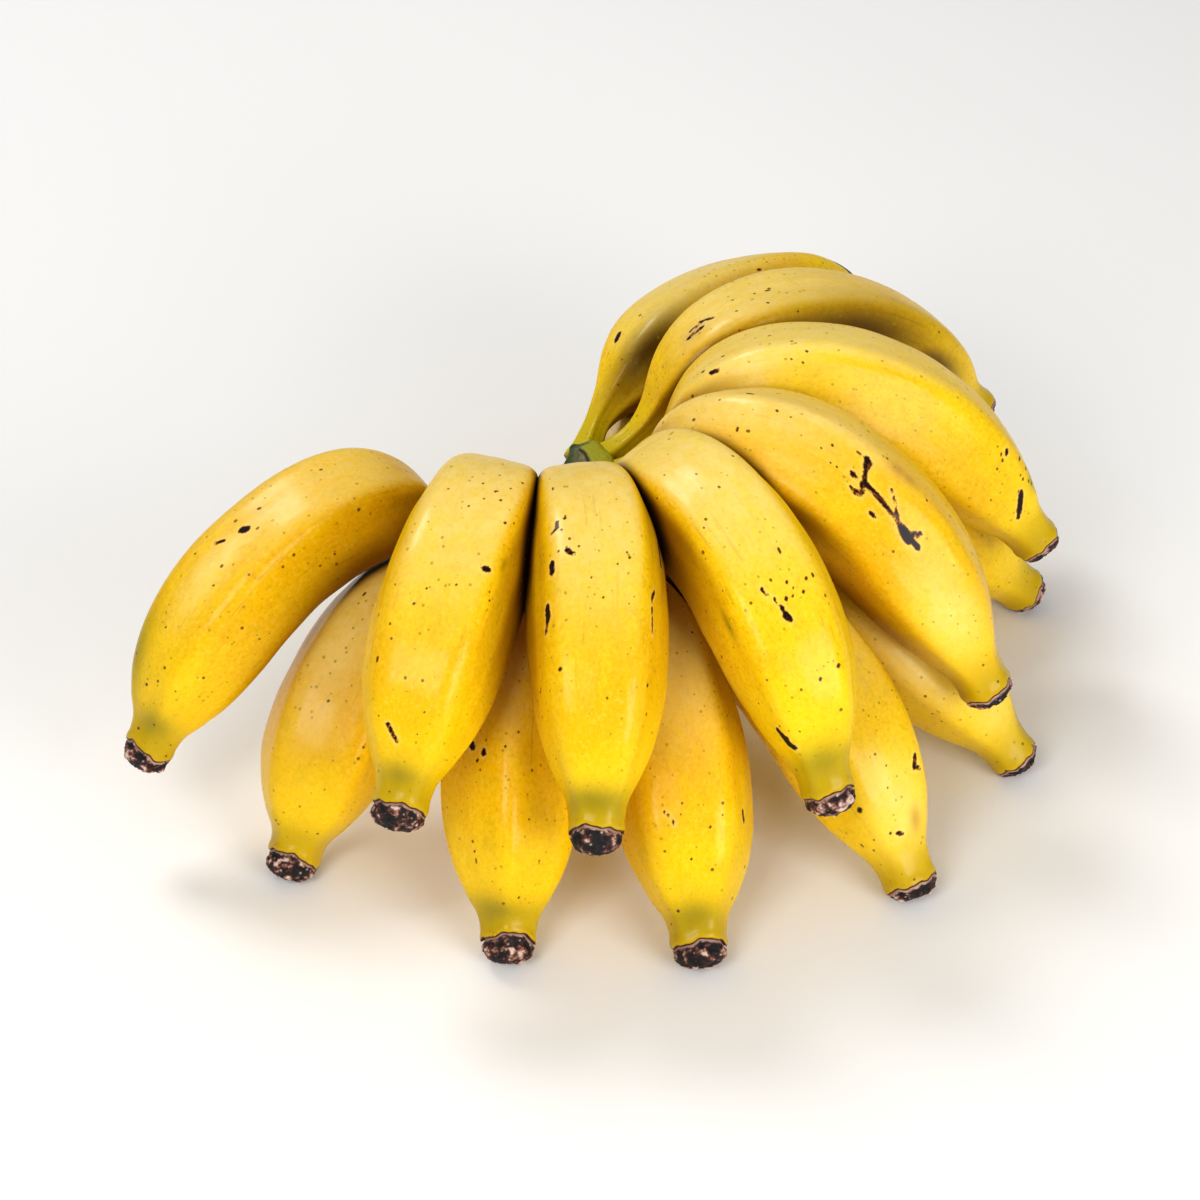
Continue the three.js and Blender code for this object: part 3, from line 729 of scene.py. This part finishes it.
def dried_blossom():
    """Dead flower tissue: dull, brown black and crumbly, with small pale glints painted on as highlights."""
    material = bpy.data.materials.new("dried_blossom")
    material.use_nodes = True
    tree = material.node_tree
    tree.nodes.clear()
    raised = add(tree, "ShaderNodeAttribute", attribute_name="raised").outputs["Fac"]
    past_edge = add(tree, "ShaderNodeAttribute", attribute_name="past_edge_mm").outputs["Fac"]
    place = add(tree, "ShaderNodeTexCoord").outputs["Object"]

    # Crumbs about 1.2 mm across, in metres of object space.
    crumbs = add(tree, "ShaderNodeTexNoise", {"Vector": place, "Scale": 800.0, "Detail": 4.0})
    # Painted shade: the colour follows the lumps' height, near black in the hollows and pale pinkish brown on
    # the raised crumbs, over the crumbs' own mottling.
    lifted = add(tree, "ShaderNodeMath", {0: raised, 1: 0.5, 2: crumbs.outputs["Fac"]},
                 operation="MULTIPLY_ADD")
    stops = add(tree, "ShaderNodeValToRGB", {"Fac": lifted.outputs[0]})
    ramp = stops.color_ramp
    ramp.elements[0].position, ramp.elements[0].color = 0.34, srgb("#0C0607")
    ramp.elements[1].position, ramp.elements[1].color = 0.9, srgb("#D6BDB0")
    for position, colour in ((0.5, "#1F0F0F"), (0.62, "#4A271E"), (0.74, "#946552")):
        ramp.elements.new(position).color = srgb(colour)
    # Painted highlight: small pale glints scattered over the crumbs.
    glints = add(tree, "ShaderNodeTexVoronoi", {"Vector": place, "Scale": 420.0})
    glint = add(tree, "ShaderNodeMapRange", {
        "Value": glints.outputs["Distance"], "From Min": 0.06, "From Max": 0.2, "To Min": 0.6, "To Max": 0.0,
    })
    pale = add(tree, "ShaderNodeMix", {0: glint.outputs[0], 6: stops.outputs[0], 7: srgb("#D9C6BC")},
               data_type="RGBA")
    ledge = add(tree, "ShaderNodeMath", {0: crumbs.outputs["Fac"], 1: 1.6, 2: past_edge},
                operation="MULTIPLY_ADD")
    rim = add(tree, "ShaderNodeMapRange", {
        "Value": ledge.outputs[0], "From Min": 1.2, "From Max": 1.6, "To Min": 0.85, "To Max": 0.0,
    })
    rimmed = add(tree, "ShaderNodeMix", {0: rim.outputs[0], 6: pale.outputs[2], 7: srgb("#CFA593")},
                 data_type="RGBA")
    bump = add(tree, "ShaderNodeBump", {
        "Height": crumbs.outputs["Fac"], "Strength": 0.8, "Distance": 0.0006,
    })
    shader = add(tree, "ShaderNodeBsdfPrincipled", {
        "Base Color": rimmed.outputs[2],
        "Roughness": 0.68,
        "Normal": bump.outputs[0],
        "IOR": 1.5,
    })
    add(tree, "ShaderNodeOutputMaterial", {"Surface": shader.outputs[0]})
    return material


dried = dried_blossom()
for number, name in enumerate(FRUITS):
    place_piece(f"dried_tip_{name}", tip_mesh(name, number), dried, f"blossom_end_{name}")

# The crown.
# The thick crescent of stem tissue that the necks grow from. It is green and ribbed outside, and
# was sliced from the plant's stalk with a knife, so its inner side is cut in flat facets that have
# dried grey-green, with dark edges and the ends of fibres showing. Its end by the last banana is drawn
# about 2 mm shorter than the solid's, since so little of it shows.

CROWN_OUTER_RADIUS = 20.6
CROWN_INNER_TOP_RADIUS = 12.5
CROWN_INNER_FOOT_RADIUS = 9.5
CROWN_TOP = 5.5
CROWN_FOOT = -19.5
CROWN_EDGE = 2.6
CROWN_START_DEG = 63
CROWN_END_DEG = -158
CROWN_END_HEIGHT_SHARE = 0.62
CROWN_END_TAPER_SHARE = 0.12
CROWN_RINGS = 220
CROWN_SIDES = 96
END_RINGS = 26
KNIFE_SLICES = [((-0.2, -0.5, 0.84), 1.6), ((-0.9, 0.1, 0.42), 1.3), ((-0.6, -0.75, -0.1), 1.4)]


def crown_section(share):
    """The crown's upright section: distance from the stalk's axis, level, and how far it is cut."""
    height = CROWN_END_HEIGHT_SHARE
    height += (1 - height) * float(smooth(min(share, 1 - share) / CROWN_END_TAPER_SHARE))
    middle = (CROWN_TOP + CROWN_FOOT) / 2
    outline = np.array([
        (CROWN_OUTER_RADIUS, CROWN_FOOT + CROWN_EDGE, 0),
        (CROWN_OUTER_RADIUS, middle, 0),
        (CROWN_OUTER_RADIUS, CROWN_TOP - CROWN_EDGE, 0),
        (CROWN_OUTER_RADIUS - 0.3 * CROWN_EDGE, CROWN_TOP - 0.3 * CROWN_EDGE, 0),
        (CROWN_OUTER_RADIUS - CROWN_EDGE, CROWN_TOP, 0),
        (CROWN_INNER_TOP_RADIUS + 0.4 * CROWN_EDGE, CROWN_TOP, 0.3),
        (CROWN_INNER_TOP_RADIUS, CROWN_TOP - 0.4 * CROWN_EDGE, 1),
        ((CROWN_INNER_TOP_RADIUS + CROWN_INNER_FOOT_RADIUS) / 2 + 0.5, middle, 1),
        (CROWN_INNER_FOOT_RADIUS, CROWN_FOOT + 0.6 * CROWN_EDGE, 1),
        (CROWN_INNER_FOOT_RADIUS + 0.6 * CROWN_EDGE, CROWN_FOOT, 0.3),
        (CROWN_OUTER_RADIUS - CROWN_EDGE, CROWN_FOOT, 0),
        (CROWN_OUTER_RADIUS - 0.3 * CROWN_EDGE, CROWN_FOOT + 0.3 * CROWN_EDGE, 0),
    ])
    around = np.vstack([outline, outline[:1]])
    walked = np.concatenate([[0], np.cumsum(np.linalg.norm(np.diff(around[:, :2], axis=0), axis=1))])
    at = np.linspace(0, walked[-1], CROWN_SIDES, endpoint=False)
    radius, level, cut = (np.interp(at, walked, around[:, k]) for k in range(3))
    return radius, middle + (level - middle) * height, cut


def crown_mesh():
    rings, cuts = [], []
    for share in np.linspace(0, 1, CROWN_RINGS + 1):
        angle = math.radians(CROWN_START_DEG + (CROWN_END_DEG - CROWN_START_DEG) * share)
        radius, level, cut = crown_section(share)
        ring = []
        for r, z, c in zip(radius, level, cut):
            spot = np.array([r * math.cos(angle), r * math.sin(angle), z])
            lump = noise.noise(Vector(spot * 0.25)) * 0.7 + noise.noise(Vector(spot * 0.9)) * 0.25
            ring.append(spot + np.array([math.cos(angle), math.sin(angle), 0.3]) * lump * (1 - 0.6 * c))
        rings.append(ring)
        cuts.append(cut)
    rings, cuts = np.array(rings), np.array(cuts)

    # The knife took three slices off that end.
    end = rings[:END_RINGS]
    for direction, depth in KNIFE_SLICES:
        facet = np.array(direction) / np.linalg.norm(direction)
        outside = end @ facet - ((end @ facet).max() - depth)
        end -= np.maximum(outside, 0)[..., None] * facet
        cuts[:END_RINGS][outside > 0] = 1
    mesh = closed_tube("stem_crown", rings + STALK)
    from_end = np.arange(CROWN_RINGS + 1) * math.radians(CROWN_START_DEG - CROWN_END_DEG)
    from_end *= CROWN_OUTER_RADIUS / CROWN_RINGS
    paint(mesh, "cut", np.ravel(cuts))
    paint(mesh, "from_end_mm", np.repeat(from_end, CROWN_SIDES))
    return mesh


def crown_tissue():
    """Green stem tissue: matt, ribbed and fibrous, grey-green and browned where it was cut."""
    material = bpy.data.materials.new("crown_tissue")
    material.use_nodes = True
    tree = material.node_tree
    tree.nodes.clear()
    place = add(tree, "ShaderNodeTexCoord").outputs["Object"]
    cut = add(tree, "ShaderNodeAttribute", attribute_name="cut").outputs["Fac"]
    from_end = add(tree, "ShaderNodeAttribute", attribute_name="from_end_mm").outputs["Fac"]
    mottle = add(tree, "ShaderNodeTexNoise", {"Vector": place, "Scale": 160.0, "Detail": 4.0})
    fibres = add(tree, "ShaderNodeTexNoise", {"Vector": place, "Scale": 900.0, "Detail": 3.0})
    dark = add(tree, "ShaderNodeMix", {
        0: mottle.outputs["Fac"], 6: srgb("#3F640E"), 7: srgb("#101C08"),
    }, data_type="RGBA")
    ripening = add(tree, "ShaderNodeMapRange", {
        "Value": from_end, "From Min": 5.5, "From Max": 9.0, "To Min": 0.0, "To Max": 0.85,
    })
    green = add(tree, "ShaderNodeMix", {
        0: ripening.outputs[0], 6: dark.outputs[2], 7: srgb("#B4B01A"),
    }, data_type="RGBA")
    sliced = add(tree, "ShaderNodeMix", {
        0: fibres.outputs["Fac"], 6: srgb("#A7A878"), 7: srgb("#5F683C"),
    }, data_type="RGBA")
    blotches = add(tree, "ShaderNodeTexNoise", {"Vector": place, "Scale": 420.0, "Detail": 5.0})
    browned = add(tree, "ShaderNodeMapRange", {
        "Value": blotches.outputs["Fac"], "From Min": 0.48, "From Max": 0.7, "To Min": 0.1, "To Max": 0.8,
    })
    aged = add(tree, "ShaderNodeMix", {
        0: browned.outputs[0], 6: sliced.outputs[2], 7: srgb("#4A3A1E"),
    }, data_type="RGBA")
    still_fresh = add(tree, "ShaderNodeMapRange", {
        "Value": from_end, "From Min": 5.5, "From Max": 9.0, "To Min": 0.7, "To Max": 0.0,
    })
    knifed = add(tree, "ShaderNodeMix", {
        0: still_fresh.outputs[0], 6: aged.outputs[2], 7: srgb("#3A5526"),
    }, data_type="RGBA")
    dry_rim = add(tree, "ShaderNodeMapRange", {"Value": cut, "From Min": 0.3, "From Max": 0.6})
    rimmed = add(tree, "ShaderNodeMix", {0: dry_rim.outputs[0], 6: green.outputs[2], 7: srgb("#33280F")},
                 data_type="RGBA")
    clean_cut = add(tree, "ShaderNodeMapRange", {"Value": cut, "From Min": 0.75, "From Max": 0.95})
    colour = add(tree, "ShaderNodeMix", {0: clean_cut.outputs[0], 6: rimmed.outputs[2], 7: knifed.outputs[2]},
                 data_type="RGBA")
    bump = add(tree, "ShaderNodeBump", {
        "Height": fibres.outputs["Fac"], "Strength": 0.5, "Distance": 0.0006,
    })
    shader = add(tree, "ShaderNodeBsdfPrincipled", {
        "Base Color": colour.outputs[2],
        "Roughness": 0.6,
        "Normal": bump.outputs[0],
        "IOR": 1.45,
    })
    add(tree, "ShaderNodeOutputMaterial", {"Surface": shader.outputs[0]})
    return material


place_piece("stem_crown", crown_mesh(), crown_tissue(), "crown")

# The studio.
# A plain floor of white paper under a pale surround, as for a product picture. Three soft lights stand
# round it: the main one high at the front left, a low one at the front right that fills the fruits'
# undersides, and one high behind that picks out their backs.

FLOOR_SIDE = 8
floor_mesh = bpy.data.meshes.new("floor")
half = FLOOR_SIDE / 2
floor_corners = [(-half, -half, 0), (half, -half, 0), (half, half, 0), (-half, half, 0)]
floor_mesh.from_pydata(floor_corners, [], [(0, 1, 2, 3)])
floor = bpy.data.objects.new("floor", floor_mesh)
bpy.context.collection.objects.link(floor)
paper = bpy.data.materials.new("white_paper")
paper.use_nodes = True
paper_shader = paper.node_tree.nodes["Principled BSDF"]
paper_shader.inputs["Base Color"].default_value = srgb("#FCFBF9")
paper_shader.inputs["Roughness"].default_value = 0.9
floor_mesh.materials.append(paper)

world = bpy.data.worlds.new("pale_surround")
bpy.context.scene.world = world
world.use_nodes = True
surround = world.node_tree.nodes["Background"]
surround.inputs["Color"].default_value = srgb("#FFFFFF")
surround.inputs["Strength"].default_value = 0.3


def soft_light(name, place, aim, side, watts):
    data = bpy.data.lights.new(name, "AREA")
    data.shape = "SQUARE"
    data.size = side
    data.energy = watts
    lamp = bpy.data.objects.new(name, data)
    lamp.location = place
    lamp.rotation_euler = (Vector(aim) - Vector(place)).to_track_quat("-Z", "Y").to_euler()
    bpy.context.collection.objects.link(lamp)


soft_light("main_softbox", (-0.42, -0.95, 0.82), (0, 0, 0.05), 0.5, 4.7)
soft_light("front_softbox", (0.75, -1, 0.5), (0.03, 0, 0.04), 0.7, 8.2)
soft_light("top_softbox", (-0.5, 0.5, 1.05), (0, 0, 0.05), 0.4, 5)

# The camera looks along +Y and down, from where the photo was taken. Its aim puts the stalk's axis
# where the photo shows it.
PHOTO_SIDE_PIXELS = 1200
STALK_PIXEL = (541, 480)
CAMERA_LENS = 120
CAMERA_SENSOR = 36
CAMERA_DISTANCE = 1.096
CAMERA_ELEVATION = 36
down = math.radians(CAMERA_ELEVATION)
look = Vector((0, math.cos(down), -math.sin(down)))
picture_up = Vector((0, math.sin(down), math.cos(down)))
picture_right = Vector((1, 0, 0))
metres_per_pixel = CAMERA_DISTANCE * CAMERA_SENSOR / (CAMERA_LENS * PHOTO_SIDE_PIXELS)
aim = Vector(STALK * MM)
aim += picture_right * (PHOTO_SIDE_PIXELS / 2 - STALK_PIXEL[0]) * metres_per_pixel
aim += picture_up * (STALK_PIXEL[1] - PHOTO_SIDE_PIXELS / 2) * metres_per_pixel
camera_data = bpy.data.cameras.new("camera")
camera_data.lens = CAMERA_LENS
camera_data.sensor_width = CAMERA_SENSOR
camera = bpy.data.objects.new("camera", camera_data)
camera.location = aim - look * CAMERA_DISTANCE
camera.rotation_euler = look.to_track_quat("-Z", "Y").to_euler()
bpy.context.collection.objects.link(camera)
bpy.context.scene.camera = camera

# The photo is a contrasty one, so the picture's tones are spread in the same way.
bpy.context.scene.view_settings.view_transform = "Standard"
bpy.context.scene.view_settings.look = "Medium High Contrast"
